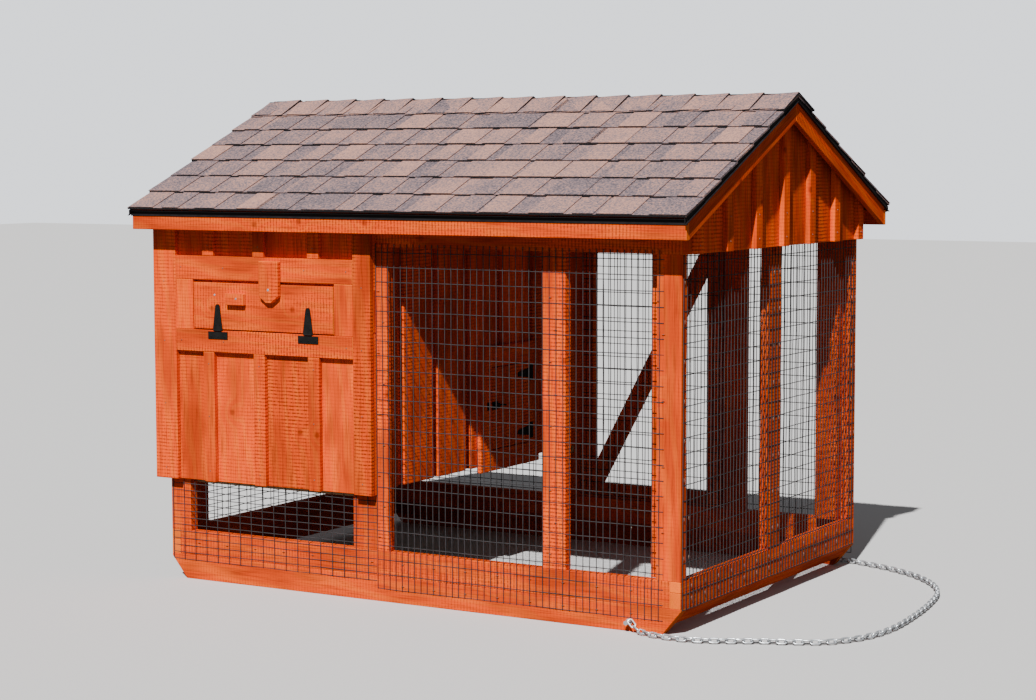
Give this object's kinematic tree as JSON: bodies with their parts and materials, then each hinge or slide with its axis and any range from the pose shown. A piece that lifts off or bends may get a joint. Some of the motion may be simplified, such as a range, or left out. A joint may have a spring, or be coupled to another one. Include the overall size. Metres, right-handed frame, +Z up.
{
  "type": "chicken coop",
  "caption": "Skid-mounted chicken coop: board-and-batten hen house with a drop-down egg door, wire run with a rear door, shingled gable roof and a tow chain.",
  "frame": {"origin": "bottom centre of the coop, on the ground, leaving out the tow chain", "axes": "X runs along the coop from the hen house to the gable end of the run; Y runs from the front, with the egg door, to the rear; Z is up"},
  "size_m": [2.7334, 1.7268, 1.7601],
  "materials": {
    "stained_wood": "rough-sawn boards with an orange-brown stain",
    "plywood": "bare plywood",
    "shingle": "mineral-faced asphalt shingles, mauve-grey and brown",
    "black_steel": "black-coated hinges and bolts",
    "wire": "weathered galvanised welded wire",
    "galvanised_steel": "galvanised chain, bolts and washers"
  },
  "bodies": {
    "coop": {"front_skid": "stained_wood", "rear_skid": "stained_wood", "left_end_beam": "stained_wood", "right_end_beam": "stained_wood", "front_rail": "stained_wood", "rear_rail": "stained_wood", "front_left_post": "stained_wood", "front_right_post": "stained_wood", "rear_left_post": "stained_wood", "rear_right_post": "stained_wood", "front_junction_post": "stained_wood", "front_middle_post": "stained_wood", "rear_hinge_post": "stained_wood", "rear_latch_post": "stained_wood", "right_end_post": "stained_wood", "front_top_plate": "stained_wood", "rear_top_plate": "stained_wood", "right_gable_frame": "stained_wood", "run_rafters": "stained_wood", "roof_deck": "stained_wood", "front_shingles": "shingle", "rear_shingles": "shingle", "ridge_cap": "shingle", "front_fascia": "stained_wood", "rear_fascia": "stained_wood", "left_rake_boards": "stained_wood", "right_rake_boards": "stained_wood", "right_gable_siding": "stained_wood", "house_floor": "plywood", "house_front_siding": "stained_wood", "house_rear_siding": "stained_wood", "house_left_siding": "stained_wood", "partition_siding": "stained_wood", "nest_box": "plywood", "roost_bar": "stained_wood", "egg_door_frame": "stained_wood", "pop_door_frame": "stained_wood", "front_run_mesh": "wire", "front_skirt_mesh": "wire", "right_end_mesh": "wire", "rear_run_mesh": "wire", "rear_skirt_mesh": "wire", "tow_chain": "galvanised_steel", "front_chain_bolt": "galvanised_steel", "rear_chain_bolt": "galvanised_steel"},
    "egg_door": {"egg_door": "stained_wood", "egg_door_left_strap": "black_steel", "egg_door_right_strap": "black_steel"},
    "turn_button": {"turn_button": "stained_wood"},
    "pop_door": {"pop_door": "stained_wood", "pop_door_lower_strap": "black_steel", "pop_door_upper_strap": "black_steel", "pop_door_bolt_case": "black_steel"},
    "pop_door_bolt": {"pop_door_bolt": "black_steel"},
    "access_door": {"access_door_frame": "stained_wood", "access_door_mesh": "wire", "access_door_lower_strap": "black_steel", "access_door_upper_strap": "black_steel", "access_door_bolt_case": "black_steel"},
    "access_door_bolt": {"access_door_bolt": "black_steel"}
  },
  "joints": [
    {"name": "egg_door_hinge", "type": "hinge", "parent": "coop", "child": "egg_door", "pos_m": [-0.58928, -0.77483, 0.92202], "axis": [1, 0, 0], "range_deg": [0, 160]},
    {"name": "turn_button_pivot", "type": "hinge", "parent": "egg_door", "child": "turn_button", "pos_m": [-0.54864, -0.78105, 1.07442], "axis": [0, 1, 0], "range_deg": [0, 90]},
    {"name": "pop_door_hinge", "type": "hinge", "parent": "coop", "child": "pop_door", "pos_m": [-0.07925, 0.23114, 0.6096], "axis": [0, 0, 1], "range_deg": [0, 120]},
    {"name": "pop_door_bolt_slide", "type": "slide", "parent": "pop_door", "child": "pop_door_bolt", "axis": [0, -1, 0], "range_m": [0, 0.01524]},
    {"name": "access_door_hinge", "type": "hinge", "parent": "coop", "child": "access_door", "pos_m": [-0.12192, 0.73673, 0.7112], "axis": [0, 0, 1], "range_deg": [0, 110]},
    {"name": "access_door_bolt_slide", "type": "slide", "parent": "access_door", "child": "access_door_bolt", "axis": [1, 0, 0], "range_m": [0, 0.01524]}
  ]
}
